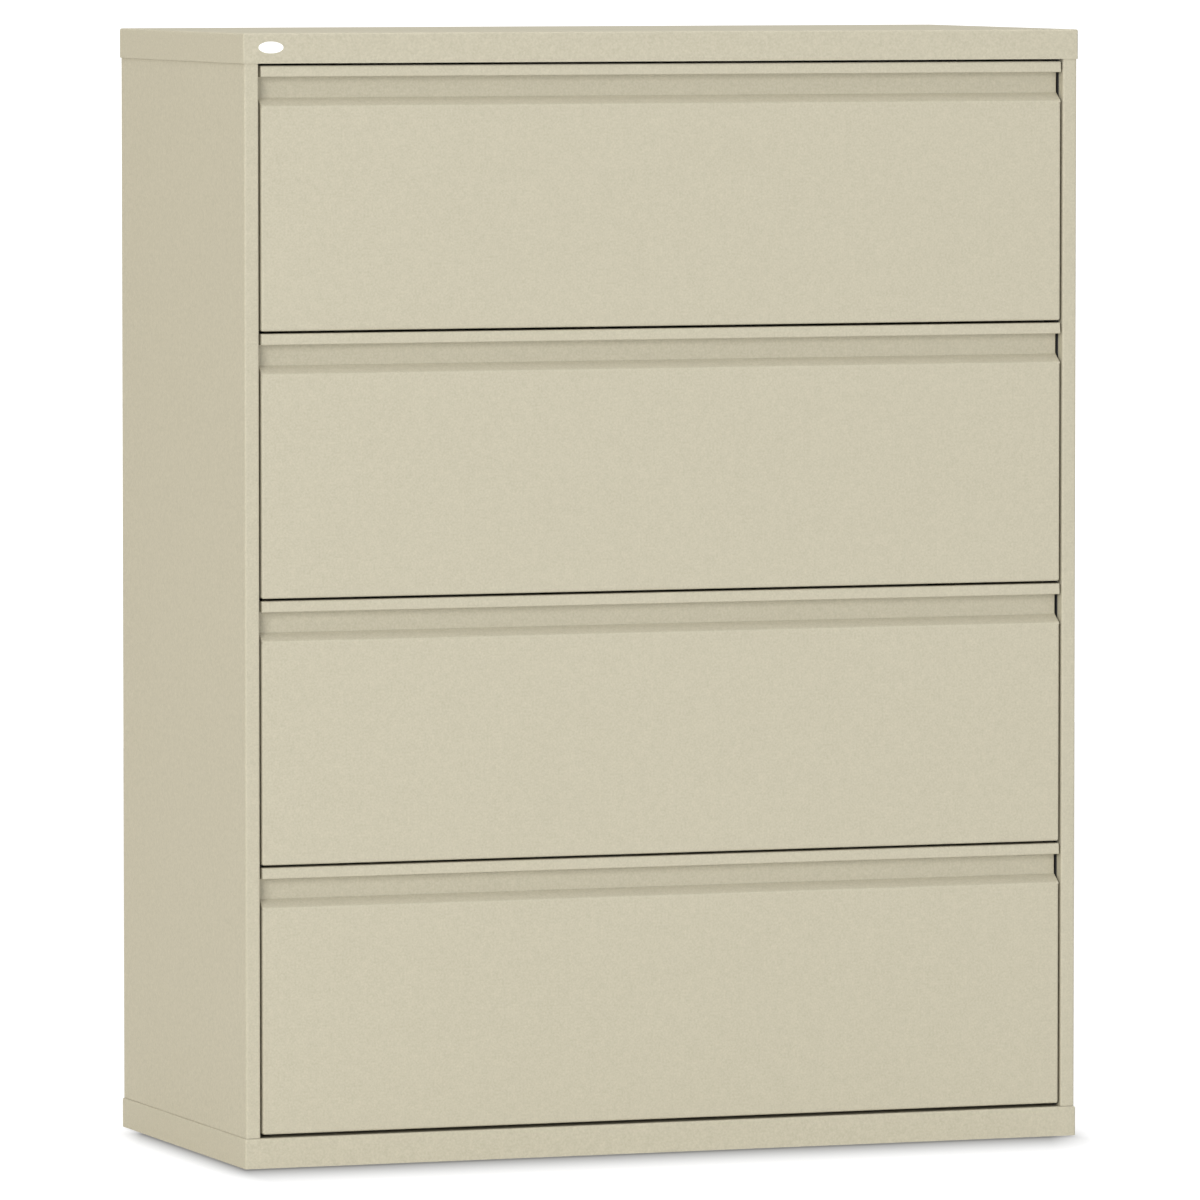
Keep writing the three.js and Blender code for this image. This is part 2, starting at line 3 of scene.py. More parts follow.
import bmesh
import bpy
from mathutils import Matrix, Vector


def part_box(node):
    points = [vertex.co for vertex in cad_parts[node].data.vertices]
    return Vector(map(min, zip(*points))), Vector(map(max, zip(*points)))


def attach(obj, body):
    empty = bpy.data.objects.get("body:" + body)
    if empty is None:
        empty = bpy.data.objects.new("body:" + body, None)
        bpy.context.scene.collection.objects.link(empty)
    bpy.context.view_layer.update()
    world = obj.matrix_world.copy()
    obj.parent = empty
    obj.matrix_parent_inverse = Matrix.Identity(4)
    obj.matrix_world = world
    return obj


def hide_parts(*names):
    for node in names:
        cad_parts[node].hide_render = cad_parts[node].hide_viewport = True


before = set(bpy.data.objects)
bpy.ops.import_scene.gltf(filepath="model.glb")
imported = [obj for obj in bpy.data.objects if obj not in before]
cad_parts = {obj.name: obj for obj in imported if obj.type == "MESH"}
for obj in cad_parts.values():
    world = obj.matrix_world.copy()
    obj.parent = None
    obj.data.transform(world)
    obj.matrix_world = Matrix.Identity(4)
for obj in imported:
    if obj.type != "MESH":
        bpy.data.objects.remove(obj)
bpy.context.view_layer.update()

# Studio. The cabinet stands on a pale floor in a white surround, under large soft lights ahead to the left,
# at the front, at the left and overhead. The floor glows white for the camera, and a painted contact shadow
# darkens it softly near the base. It is clear from below, and under the base it glows to light the underside.
# The camera is well back to the left with a long lens.
scene = bpy.context.scene
scene.view_settings.view_transform = "Standard"

LOOK_DOWN = 3.685
LOOK_RIGHT = 19.90
camera_data = bpy.data.cameras.new("camera")
camera_data.lens = 333.3
camera_data.sensor_width = 36
camera_data.clip_end = 400
camera = bpy.data.objects.new("camera", camera_data)
camera.location = (-4.613, -12.753, 1.528)
camera.rotation_euler = (math.radians(90 - LOOK_DOWN), 0, math.radians(-LOOK_RIGHT))
scene.collection.objects.link(camera)
scene.camera = camera

FLOOR_SIZE = 12
FLOOR_LIT = (0.2, 0.2, 0.2, 1)
FLOOR_BOUNCE = (0.85, 0.85, 0.85, 1)
# How bright the floor glows for the camera, and the depth, fade and places of the painted contact shadow.
FLOOR_GLOW = 0.90
PAINTED_SHADOW_DEPTH = 0.69
CONTACT_FADE = 1.6
AHEAD_OF_BASE = ((-0.533, -0.585), (0.533, 0.585), (-0.2445, -0.42), (0.17, 0.26))
BEHIND_BASE = ((-0.47, -0.53), (0.47, 0.53), (-0.2, -0.2445), (0.2445, 0.33))
SHADE_LEAN = 0.36
SHADE_LEFT = (-0.593, -0.631)
SHADE_RIGHT = (0.588, 0.655)
FULL_SHADE = 0.99
UNDER_GLOW = 0.5


def deselect():
    bpy.ops.object.select_all(action="DESELECT")


deselect()
bpy.ops.mesh.primitive_plane_add(size=FLOOR_SIZE)
floor = bpy.context.object
floor.name = "floor"
floor_paint = bpy.data.materials.new("floor_paint")
floor_paint.use_nodes = True
nodes, links = floor_paint.node_tree.nodes, floor_paint.node_tree.links
nodes.remove(nodes["Principled BSDF"])
lit = nodes.new("ShaderNodeBsdfDiffuse")
lit.inputs["Color"].default_value = FLOOR_LIT
bounce = nodes.new("ShaderNodeBsdfDiffuse")
bounce.inputs["Color"].default_value = FLOOR_BOUNCE


def floor_math(operation, *values):
    """A math node of the floor's material, which takes numbers and the results of other nodes."""
    node = nodes.new("ShaderNodeMath")
    node.operation = operation
    for socket, value in zip(node.inputs, values):
        if isinstance(value, (int, float)):
            socket.default_value = value
        else:
            links.new(value, socket)
    return node.outputs["Value"]


def fade(value, start, end):
    """Runs from 0 to 1 between two places on the floor."""
    node = nodes.new("ShaderNodeMapRange")
    node.inputs["From Min"].default_value = start
    node.inputs["From Max"].default_value = end
    links.new(value, node.inputs["Value"])
    return node.outputs["Result"]


place = nodes.new("ShaderNodeTexCoord")
across = nodes.new("ShaderNodeSeparateXYZ")
links.new(place.outputs["Object"], across.inputs["Vector"])


def painted_contact_shadow(left, right, front, rear):
    """Painted shadow, full on a rectangle of the floor, each side given by where the shadow starts to fade
    and ends.
    """
    aside = floor_math("ADD", fade(across.outputs["X"], *left), fade(across.outputs["X"], *right))
    ahead = floor_math("ADD", fade(across.outputs["Y"], *front), fade(across.outputs["Y"], *rear))
    away = floor_math("SQRT", floor_math("ADD", floor_math("POWER", aside, 2), floor_math("POWER", ahead, 2)))
    close_by = floor_math("MAXIMUM", floor_math("SUBTRACT", 1, away), 0)
    return floor_math("POWER", close_by, CONTACT_FADE)


# A painted contact shadow, taken off the glow that the camera sees: ahead of the base with its ends trimmed
# on a lean, and behind it.
ahead_of_base = painted_contact_shadow(*AHEAD_OF_BASE)
behind_base = painted_contact_shadow(*BEHIND_BASE)
lean = floor_math("MULTIPLY", across.outputs["Y"], SHADE_LEAN)
leaning = floor_math("SUBTRACT", across.outputs["X"], lean)
ends = floor_math("ADD", fade(leaning, *SHADE_LEFT), fade(leaning, *SHADE_RIGHT))
trimmed = floor_math("MULTIPLY", ahead_of_base, floor_math("SUBTRACT", 1, ends))
shade = floor_math("MULTIPLY", floor_math("MAXIMUM", trimmed, behind_base), PAINTED_SHADOW_DEPTH)
# Under the base the floor glows as a light of its own, which lights the base's underside.
under = nodes.new("ShaderNodeEmission")
below = floor_math("MULTIPLY", floor_math("GREATER_THAN", ahead_of_base, FULL_SHADE), UNDER_GLOW)
links.new(below, under.inputs["Strength"])
dim = nodes.new("ShaderNodeAddShader")
links.new(bounce.outputs[0], dim.inputs[0])
links.new(under.outputs[0], dim.inputs[1])
glow = nodes.new("ShaderNodeEmission")
pale = nodes.new("ShaderNodeAddShader")
ray = nodes.new("ShaderNodeLightPath")
either = nodes.new("ShaderNodeMixShader")
links.new(floor_math("SUBTRACT", FLOOR_GLOW, shade), glow.inputs["Strength"])
links.new(lit.outputs[0], pale.inputs[0])
links.new(glow.outputs[0], pale.inputs[1])
links.new(ray.outputs["Is Camera Ray"], either.inputs["Fac"])
links.new(dim.outputs[0], either.inputs[1])
links.new(pale.outputs[0], either.inputs[2])
clear = nodes.new("ShaderNodeBsdfTransparent")
facing = nodes.new("ShaderNodeNewGeometry")
one_sided = nodes.new("ShaderNodeMixShader")
links.new(facing.outputs["Backfacing"], one_sided.inputs["Fac"])
links.new(either.outputs[0], one_sided.inputs[1])
links.new(clear.outputs[0], one_sided.inputs[2])
links.new(one_sided.outputs[0], nodes["Material Output"].inputs["Surface"])
floor.data.materials.append(floor_paint)

SURROUND_STRENGTH = 0.33
SEEN_STRENGTH = 1.2
surround = bpy.data.worlds.new("surround")
surround.use_nodes = True
sky = surround.node_tree
shining, seen = sky.nodes["Background"], sky.nodes.new("ShaderNodeBackground")
for background, strength in ((shining, SURROUND_STRENGTH), (seen, SEEN_STRENGTH)):
    background.inputs["Color"].default_value = (1, 1, 1, 1)
    background.inputs["Strength"].default_value = strength
ray = sky.nodes.new("ShaderNodeLightPath")
either = sky.nodes.new("ShaderNodeMixShader")
sky.links.new(ray.outputs["Is Camera Ray"], either.inputs["Fac"])
sky.links.new(shining.outputs[0], either.inputs[1])
sky.links.new(seen.outputs[0], either.inputs[2])
sky.links.new(either.outputs[0], sky.nodes["World Output"].inputs["Surface"])
scene.world = surround


def soft_light(name, place, aim, width, height, power, colour=(1, 1, 1)):
    """A large area light at a place, turned to its aim."""
    data = bpy.data.lights.new(name, "AREA")
    data.shape = "RECTANGLE"
    data.size = width
    data.size_y = height
    data.energy = power
    data.color = colour
    light = bpy.data.objects.new(name, data)
    light.location = place
    light.rotation_euler = (Vector(aim) - Vector(place)).to_track_quat("-Z", "Y").to_euler()
    scene.collection.objects.link(light)


MIDDLE = (0, 0, 0.7)
soft_light("key_light", (-9.1, -10.1, 3.9), MIDDLE, 7.0, 6.0, 1195)
soft_light("front_light", (3.0, -9.0, 0.9), (0.2, 0, 0.2), 5.0, 1.6, 170)
soft_light("left_light", (-6.0, 2.2, 1.2), MIDDLE, 4.0, 3.0, 62, (1.0, 0.88, 0.68))
soft_light("overhead_light", (0, 0, 5.5), (0, 0.01, 0), 8.0, 8.0, 310)


# Base pan. A shallow pan folded from one sheet of steel, open below, that the case is welded to.
# It has a weld nut under each corner for a levelling glide, and is powder coated with the case.
SHEET = 0.001
FOLD = 0.002
CLOSE = 1e-5
GLIDE_X = 0.4904
GLIDE_Y = 0.204
STEM_HOLE = 0.0043
NUT_RADIUS = 0.008
NUT_HEIGHT = 0.008
HEX = 6
FOLD_SEGMENTS = 5
SMOOTH_ANGLE = 35
PEEL_SCALE = 420
MOTTLE_SCALE = 150
CLOUD_SCALE = 4
PEEL_SHARE = 0.7
POWDER_GLOSS = (0.50, 0.68)
TONE_SPREAD = (0.3, 0.7)
RELIEF_DEPTH = 0.0004


def texture_group(name):
    """An empty node group with the three outputs that a surface takes."""
    group = bpy.data.node_groups.new(name, "ShaderNodeTree")
    for output in ("Tone", "Roughness", "Height"):
        group.interface.new_socket(output, in_out="OUTPUT", socket_type="NodeSocketFloat")
    group.nodes.new("NodeGroupOutput")
    return group


def noise(group, scale, detail, stretch=None):
    """Noise on the piece's own coordinates, drawn out where a stretch is given."""
    node = group.nodes.new("ShaderNodeTexNoise")
    node.inputs["Scale"].default_value = scale
    node.inputs["Detail"].default_value = detail
    place = group.nodes.new("ShaderNodeTexCoord").outputs["Object"]
    if stretch:
        mapping = group.nodes.new("ShaderNodeMapping")
        mapping.inputs["Scale"].default_value = stretch
        group.links.new(place, mapping.inputs["Vector"])
        place = mapping.outputs["Vector"]
    group.links.new(place, node.inputs["Vector"])
    return node.outputs["Fac"]


def blend(group, first, second, share):
    """A mix of two values, with the second one's share."""
    node = group.nodes.new("ShaderNodeMix")
    node.data_type = "FLOAT"
    node.inputs["Factor"].default_value = share
    group.links.new(first, node.inputs["A"])
    group.links.new(second, node.inputs["B"])
    return node.outputs["Result"]


def give(group, tone, gloss_by, gloss, height):
    """Joins up a texture group's outputs. The roughness runs over the gloss range with a value."""
    roughness = group.nodes.new("ShaderNodeMapRange")
    roughness.inputs["To Min"].default_value = gloss[0]
    roughness.inputs["To Max"].default_value = gloss[1]
    group.links.new(gloss_by, roughness.inputs["Value"])
    out = group.nodes["Group Output"]
    group.links.new(tone, out.inputs["Tone"])
    group.links.new(roughness.outputs["Result"], out.inputs["Roughness"])
    group.links.new(height, out.inputs["Height"])


def powder_group():
    """Fine orange peel of a powder coat: a mottled tone, a varying roughness and a height for bump."""
    group = texture_group("powder_texture")
    peel = noise(group, PEEL_SCALE, 2)
    mottle = noise(group, MOTTLE_SCALE, 3)
    cloud = noise(group, CLOUD_SCALE, 2)
    give(group, blend(group, mottle, peel, PEEL_SHARE), cloud, POWDER_GLOSS, peel)
    return group


def surface(name, texture, dark, light, bump, metallic, specular):
    """A finish whose tone runs between two close colours, with a texture group's roughness and relief."""
    material = bpy.data.materials.new(name)
    material.use_nodes = True
    nodes, links = material.node_tree.nodes, material.node_tree.links
    shader = nodes["Principled BSDF"]
    grain = nodes.new("ShaderNodeGroup")
    grain.node_tree = texture
    ramp = nodes.new("ShaderNodeValToRGB")
    for stop, position, colour in zip(ramp.color_ramp.elements, TONE_SPREAD, (dark, light)):
        stop.position = position
        stop.color = (*colour, 1)
    relief = nodes.new("ShaderNodeBump")
    relief.inputs["Strength"].default_value = bump
    relief.inputs["Distance"].default_value = RELIEF_DEPTH
    links.new(grain.outputs["Tone"], ramp.inputs["Fac"])
    links.new(ramp.outputs["Color"], shader.inputs["Base Color"])
    links.new(grain.outputs["Roughness"], shader.inputs["Roughness"])
    links.new(grain.outputs["Height"], relief.inputs["Height"])
    links.new(relief.outputs["Normal"], shader.inputs["Normal"])
    shader.inputs["Metallic"].default_value = metallic
    shader.inputs["Specular IOR Level"].default_value = specular
    return material


PUTTY_DARK = (0.420, 0.391, 0.297)
PUTTY_LIGHT = (0.508, 0.473, 0.365)
powder = powder_group()
putty = surface("putty_powder_coat", powder, PUTTY_DARK, PUTTY_LIGHT, bump=0.12, metallic=0, specular=0.2)


def select_only(*pieces):
    """Selects these pieces, the first one active."""
    deselect()
    for piece in pieces:
        piece.select_set(True)
    bpy.context.view_layer.objects.active = pieces[0]


def pick(piece, kind, test):
    """Selects in edit mode the faces, edges or verts that pass a test."""
    bpy.ops.mesh.select_mode(type=kind)
    bpy.ops.mesh.select_all(action="DESELECT")
    mesh = bmesh.from_edit_mesh(piece.data)
    for item in {"FACE": mesh.faces, "EDGE": mesh.edges, "VERT": mesh.verts}[kind]:
        if test(item):
            item.select_set(True)
    bmesh.update_edit_mesh(piece.data)


def apply_modifier(piece, kind, **settings):
    """Adds a modifier with these settings and applies it."""
    select_only(piece)
    modifier = piece.modifiers.new(kind.lower(), kind)
    for key, value in settings.items():
        setattr(modifier, key, value)
    bpy.ops.object.modifier_apply(modifier=modifier.name)


def smooth(piece):
    """Turns the faces outward and shades the rounded edges smooth, with the flats kept flat."""
    select_only(piece)
    bpy.ops.object.mode_set(mode="EDIT")
    bpy.ops.mesh.select_all(action="SELECT")
    bpy.ops.mesh.normals_make_consistent(inside=False)
    bpy.ops.object.mode_set(mode="OBJECT")
    bpy.ops.object.shade_smooth_by_angle(angle=math.radians(SMOOTH_ANGLE))
    apply_modifier(piece, "WEIGHTED_NORMAL", keep_sharp=True)


def place_piece(piece, material, body, slot, *nodes):
    """Gives a piece its material, the body that it rides on and the CAD nodes that it replaces. The slot is
    not used.
    """
    piece.data.materials.clear()
    piece.data.materials.append(material)
    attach(piece, body)
    if nodes:
        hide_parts(*nodes)


def fold_pan(name, low, high):
    """A pan open below that fills a box, with its upper and upright edges rounded."""
    deselect()
    bpy.ops.mesh.primitive_cube_add(size=1, location=(low + high) / 2)
    piece = bpy.context.object
    piece.name = name
    piece.scale = high - low
    bpy.ops.object.transform_apply(location=True, rotation=True, scale=True)
    bpy.ops.object.mode_set(mode="EDIT")
    pick(piece, "FACE", lambda face: face.normal.z < -0.5)
    bpy.ops.mesh.delete(type="FACE")
    pick(piece, "EDGE", lambda edge: not edge.is_boundary)
    bpy.ops.mesh.bevel(offset=FOLD + SHEET / 2, segments=FOLD_SEGMENTS, affect="EDGES")
    bpy.ops.object.mode_set(mode="OBJECT")
    apply_modifier(piece, "SOLIDIFY", thickness=SHEET, offset=-1, use_even_offset=True)
    return piece


def rods(name, sides, radius, places, length):
    """Upright rods at several places, each standing on its place, as one piece."""
    made = []
    for place in places:
        deselect()
        middle = Vector(place) + Vector((0, 0, length / 2))
        bpy.ops.mesh.primitive_cylinder_add(vertices=sides, radius=radius, depth=length, location=middle)
        bpy.ops.object.transform_apply(location=True, rotation=True, scale=True)
        made.append(bpy.context.object)
    select_only(*made)
    bpy.ops.object.join()
    made[0].name = name
    return made[0]


base_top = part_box("base_pan")[1].z
corners = [(x, y) for x in (-GLIDE_X, GLIDE_X) for y in (-GLIDE_Y, GLIDE_Y)]
base = fold_pan("base", *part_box("base_pan"))
nut_places = [(x, y, base_top - SHEET - NUT_HEIGHT) for x, y in corners]
nuts = rods("base_weld_nuts", HEX, NUT_RADIUS, nut_places, NUT_HEIGHT)
holes = rods("glide_holes", 32, STEM_HOLE, [(x, y, 0) for x, y in corners], 2 * base_top)
for piece in (base, nuts):
    apply_modifier(piece, "BOOLEAN", object=holes, operation="DIFFERENCE", solver="EXACT")
    smooth(piece)
bpy.data.objects.remove(holes)
place_piece(base, putty, "case", "putty_paint", "base_pan")
place_piece(nuts, putty, "case", "putty_paint")


# Levelling glides. A black nylon foot is moulded on the end of a zinc-plated steel stem, which is screwed
# into its weld nut. The stem's fine rolled thread is left smooth.
FOOT_RADIUS = 0.018
FOOT_EDGE = 0.004
FOOT_HEIGHT = 0.008
FOOT_TAPER = 0.5
FOOT_ROUND = 0.0009
STEM_RADIUS = 0.004
STEM_CHAMFER = 0.001
FINER = 12
ZINC_SCALE = 30
ZINC_GLOSS = (0.27, 0.44)
ZINC_DARK = (0.52, 0.53, 0.54)
ZINC_LIGHT = (0.68, 0.69, 0.70)
STREAK_FINE = 500
STREAK_LONG = 12
NYLON_DARK = (0.010, 0.010, 0.011)
NYLON_LIGHT = (0.022, 0.022, 0.023)


def mottled_group(name, scale, gloss):
    """Blotches with finer ones for bump, and a roughness that follows the larger ones."""
    group = texture_group(name)
    blotch = noise(group, scale, 4)
    give(group, blotch, blotch, gloss, noise(group, FINER * scale, 2))
    return group


def drawn_group(name, grain):
    """Zinc plate over drawn steel: faint blotches, and fine streaks along the way it was drawn."""
    group = texture_group(name)
    blotch = noise(group, ZINC_SCALE, 4)
    streak = noise(group, 1, 3, grain)
    give(group, blend(group, blotch, streak, 0.5), blotch, ZINC_GLOSS, noise(group, FINER * ZINC_SCALE, 2))
    return group


def mottled(name, scale, gloss, dark, light, bump, metallic):
    """A blotchy finish, of which the larger blotches set the gloss."""
    texture = mottled_group(f"{name}_texture", scale, gloss)
    return surface(name, texture, dark, light, bump, metallic, specular=0.4)


def zinc_plate(name, grain):
    return surface(name, drawn_group(f"{name}_texture", grain), ZINC_DARK, ZINC_LIGHT, 0.05, 1, specular=0.5)


nylon = mottled("black_nylon", 180, (0.45, 0.6), NYLON_DARK, NYLON_LIGHT, bump=0.1, metallic=0)
zinc_plain = zinc_plate("zinc_plate_upright", (STREAK_FINE, STREAK_FINE, STREAK_LONG))

for corner in ("front_left", "front_right", "rear_left", "rear_right"):
    low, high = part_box(f"{corner}_glide")
    middle = (low + high) / 2
    foot = rods(f"{corner}_glide_foot", 48, FOOT_RADIUS, [(middle.x, middle.y, low.z)], FOOT_EDGE)
    bpy.ops.object.mode_set(mode="EDIT")
    pick(foot, "FACE", lambda face: face.normal.z > 0.9)
    bpy.ops.mesh.extrude_region_move(TRANSFORM_OT_translate={"value": (0, 0, FOOT_HEIGHT - FOOT_EDGE)})
    bpy.ops.transform.resize(value=(FOOT_TAPER, FOOT_TAPER, 1))
    pick(foot, "EDGE", lambda edge: abs(edge.verts[0].co.z - edge.verts[1].co.z) < CLOSE)
    bpy.ops.mesh.bevel(offset=FOOT_ROUND, segments=3, affect="EDGES")
    bpy.ops.object.mode_set(mode="OBJECT")
    stem_foot = [(middle.x, middle.y, FOOT_HEIGHT)]
    stem = rods(f"{corner}_glide_stem", 32, STEM_RADIUS, stem_foot, high.z - FOOT_HEIGHT)
    bpy.ops.object.mode_set(mode="EDIT")
    pick(stem, "EDGE", lambda edge: all(vert.co.z > high.z - CLOSE for vert in edge.verts))
    bpy.ops.mesh.bevel(offset=STEM_CHAMFER, segments=1, affect="EDGES")
    bpy.ops.object.mode_set(mode="OBJECT")
    smooth(foot)
    smooth(stem)
    place_piece(foot, nylon, f"{corner}_foot", "glide_nylon", f"{corner}_glide")
    place_piece(stem, zinc_plain, f"{corner}_foot", "zinc_steel")


# Counterweight. A bar of hot-rolled steel plate, dark with mill scale, lies on the base at the rear so that
# the cabinet does not tip with a full drawer out. Two hex bolts with washers hold it down.
SCALE_DARK = (0.028, 0.029, 0.032)
SCALE_LIGHT = (0.075, 0.076, 0.080)
BOLT_X = 0.36
BOLT_RADIUS = 0.0085
BOLT_HEIGHT = 0.0055
WASHER_RADIUS = 0.012
WASHER_HEIGHT = 0.0015
PLATE_ROUND = 0.0012
BOLT_ROUND = 0.0004
mill_scale = mottled("mill_scale", 45, (0.42, 0.7), SCALE_DARK, SCALE_LIGHT, bump=0.3, metallic=0.4)

low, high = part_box("counterweight")
deselect()
bpy.ops.mesh.primitive_cube_add(size=1, location=(low + high) / 2)
weight = bpy.context.object
weight.name = "ballast_plate"
weight.scale = high - low
bpy.ops.object.transform_apply(location=True, rotation=True, scale=True)
apply_modifier(weight, "BEVEL", width=PLATE_ROUND, segments=2)
smooth(weight)
place_piece(weight, mill_scale, "case", "counterweight_steel", "counterweight")

bolt_y = (low.y + high.y) / 2
washer_places = [(x, bolt_y, high.z) for x in (-BOLT_X, BOLT_X)]
washers = rods("ballast_washers", 40, WASHER_RADIUS, washer_places, WASHER_HEIGHT)
bolt_places = [(x, y, z + WASHER_HEIGHT) for x, y, z in washer_places]
bolts = rods("ballast_bolts", HEX, BOLT_RADIUS, bolt_places, BOLT_HEIGHT)
for piece in (washers, bolts):
    apply_modifier(piece, "BEVEL", width=BOLT_ROUND, segments=2)
    smooth(piece)
    place_piece(piece, zinc_plain, "case", "zinc_steel")


# Side panels. Each is one sheet folded in plan: a flange and a return at the front, which frame the
# drawers, and a flange at the rear. They are welded to the base and the cap, and painted with them.
FRONT_FLANGE = 0.018
FRONT_RETURN = 0.014
REAR_FLANGE = 0.018


def fold_strip(name, path, axis, low, high, radius, own_radius=None):
    """Leaves in edit mode a strip that follows a path along the middle of a sheet, with its folds rounded.
    The path is drawn in (y, z) across X, in (x, z) across Y and in (x, y) across Z. A fold that differs has
    its own radius under its number in the path."""
    middle = (low + high) / 2
    if axis == "X":
        points = [Vector((middle, y, z)) for y, z in path]
    elif axis == "Y":
        points = [Vector((x, middle, z)) for x, z in path]
    else:
        points = [Vector((x, y, middle)) for x, y in path]
    deselect()
    bpy.ops.mesh.primitive_plane_add(size=1)
    piece = bpy.context.object
    piece.name = name
    bpy.ops.object.mode_set(mode="EDIT")
    pick(piece, "VERT", lambda vert: vert.co.y < 0)
    bpy.ops.mesh.delete(type="VERT")
    bpy.ops.mesh.select_all(action="SELECT")
    bpy.ops.transform.translate(value=(0, -0.5, 0))
    bpy.ops.transform.resize(value=(high - low, 1, 1))
    bpy.ops.object.mode_set(mode="OBJECT")
    piece.rotation_euler = {"X": (0, 0, 0), "Y": (0, 0, math.pi / 2), "Z": (0, math.pi / 2, 0)}[axis]
    piece.location = points[0]
    bpy.ops.object.transform_apply(location=True, rotation=True, scale=True)
    bpy.ops.object.mode_set(mode="EDIT")
    bpy.ops.mesh.select_all(action="SELECT")
    for start, end in zip(points, points[1:]):
        bpy.ops.mesh.extrude_region_move(TRANSFORM_OT_translate={"value": end - start})
    for number, (before, fold, after) in enumerate(zip(points, points[1:], points[2:]), 1):
        turn = (fold - before).angle(after - fold)
        bend = (own_radius or {}).get(number, radius)
        if turn > 0.01:
            pick(piece, "EDGE", lambda edge: (edge.verts[0].co + edge.verts[1].co - 2 * fold).length < CLOSE)
            bpy.ops.mesh.bevel(offset=bend * math.tan(turn / 2), segments=FOLD_SEGMENTS, affect="EDGES")
    return piece


def thicken(piece, sheet):
    """Gives a folded strip the thickness of its sheet, half to each side."""
    bpy.ops.object.mode_set(mode="OBJECT")
    apply_modifier(piece, "SOLIDIFY", thickness=sheet, offset=0, use_even_offset=True)
    smooth(piece)


def fold_sheet(name, path, axis, low, high, sheet, radius):
    """A sheet folded along a path, with its thickness."""
    piece = fold_strip(name, path, axis, low, high, radius)
    thicken(piece, sheet)
    return piece


for side, hand in (("left", -1), ("right", 1)):
    low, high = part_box(f"{side}_side_panel")
    outer = max(abs(low.x), abs(high.x)) - SHEET / 2
    front, rear = low.y + SHEET / 2, high.y - SHEET / 2
    plan = [
        (outer - FRONT_FLANGE + SHEET, low.y + FRONT_RETURN),
        (outer - FRONT_FLANGE + SHEET, front),
        (outer, front),
        (outer, rear),
        (outer - REAR_FLANGE + SHEET / 2, rear),
    ]
    panel = fold_sheet(f"{side}_side", [(hand * x, y) for x, y in plan], "Z", low.z, high.z, SHEET, FOLD)
    place_piece(panel, putty, "case", "putty_paint", f"{side}_side_panel")


# Uprights. Hat channels of steel, slotted for the slides and welded to the sides. Their near-black colour is
# painted shade, which keeps the case dark through the gaps between the drawers. The rear left one has the
# track for the interlock bar along it. The CAD shapes are shown as they are.
# The near-black colour of the uprights is painted shade for the gaps between the drawers.
GAP_SHADE_DARK = (0.012, 0.012, 0.013)
GAP_SHADE_LIGHT = (0.022, 0.022, 0.024)
gap_shade_finish = mottled("gap_shade_black", 60, (0.4, 0.6), GAP_SHADE_DARK, GAP_SHADE_LIGHT, bump=0.1, metallic=0)


def finish_node(name, material):
    """Shows a CAD shape as it is, in another material."""
    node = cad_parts[name]
    node.data.materials.clear()
    node.data.materials.append(material)


for name in ("front_left_upright", "front_right_upright", "rear_left_upright", "rear_right_upright"):
    finish_node(name, gap_shade_finish)


# Interlock bar. A flat bar of zinc-plated steel with a cam slot for each drawer, which rides up in its track
# when a drawer opens. The CAD shape is shown as it is.
finish_node("interlock_bar", zinc_plain)


# Back panel. A flat sheet, painted with the case and let in behind the drawers between the rear flanges.
# Pan-head screws through the flanges hold it.
SCREW_RADIUS = 0.0042
SCREW_HEIGHT = 0.0013
SCREW_CROSS = 0.0045
CROSS_SHAPE = 3.5
HEAD_ROUND = 0.7
BACK_SCREWS = 6
BACK_INSET = 0.06

low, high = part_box("back_panel")
back_line = [(low.x, low.y + SHEET / 2), (high.x, low.y + SHEET / 2)]
back = fold_sheet("back", back_line, "Z", low.z, high.z, SHEET, FOLD)
place_piece(back, putty, "case", "putty_paint", "back_panel")


def heads(name, radius, height, places, turn, recess=0):
    """Rounded heads at several places, turned the way that they face, as one piece."""
    head = rods("head", 24, radius, [(0, 0, 0)], height)
    bpy.ops.object.mode_set(mode="EDIT")
    pick(head, "EDGE", lambda edge: all(vert.co.z > height - CLOSE for vert in edge.verts))
    bpy.ops.mesh.bevel(offset=HEAD_ROUND * height, segments=3, affect="EDGES")
    bpy.ops.object.mode_set(mode="OBJECT")
    narrow = recess / CROSS_SHAPE
    for size in ((recess, narrow), (narrow, recess)) if recess else ():
        deselect()
        bpy.ops.mesh.primitive_cube_add(size=1, location=(0, 0, height))
        slot = bpy.context.object
        slot.scale = (*size, height)
        apply_modifier(head, "BOOLEAN", object=slot, operation="DIFFERENCE", solver="EXACT")
        bpy.data.objects.remove(slot)
    made = []
    for place in places:
        select_only(head)
        bpy.ops.object.duplicate()
        copy = bpy.context.object
        copy.rotation_euler = turn
        copy.location = place
        bpy.ops.object.transform_apply(location=True, rotation=True, scale=True)
        made.append(copy)
    bpy.data.objects.remove(head)
    select_only(*made)
    bpy.ops.object.join()
    made[0].name = name
    smooth(made[0])
    return made[0]


case_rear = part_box("left_side_panel")[1].y
flange_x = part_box("right_side_panel")[1].x - REAR_FLANGE / 2
screw_step = (high.z - low.z - 2 * BACK_INSET) / (BACK_SCREWS - 1)
screw_rows = [low.z + BACK_INSET + row * screw_step for row in range(BACK_SCREWS)]
back_places = [(x, case_rear, z) for x in (-flange_x, flange_x) for z in screw_rows]
FACING_REAR = (-math.pi / 2, 0, 0)
back_screws = heads("back_screws", SCREW_RADIUS, SCREW_HEIGHT, back_places, FACING_REAR, SCREW_CROSS)
place_piece(back_screws, zinc_plain, "case", "zinc_steel")


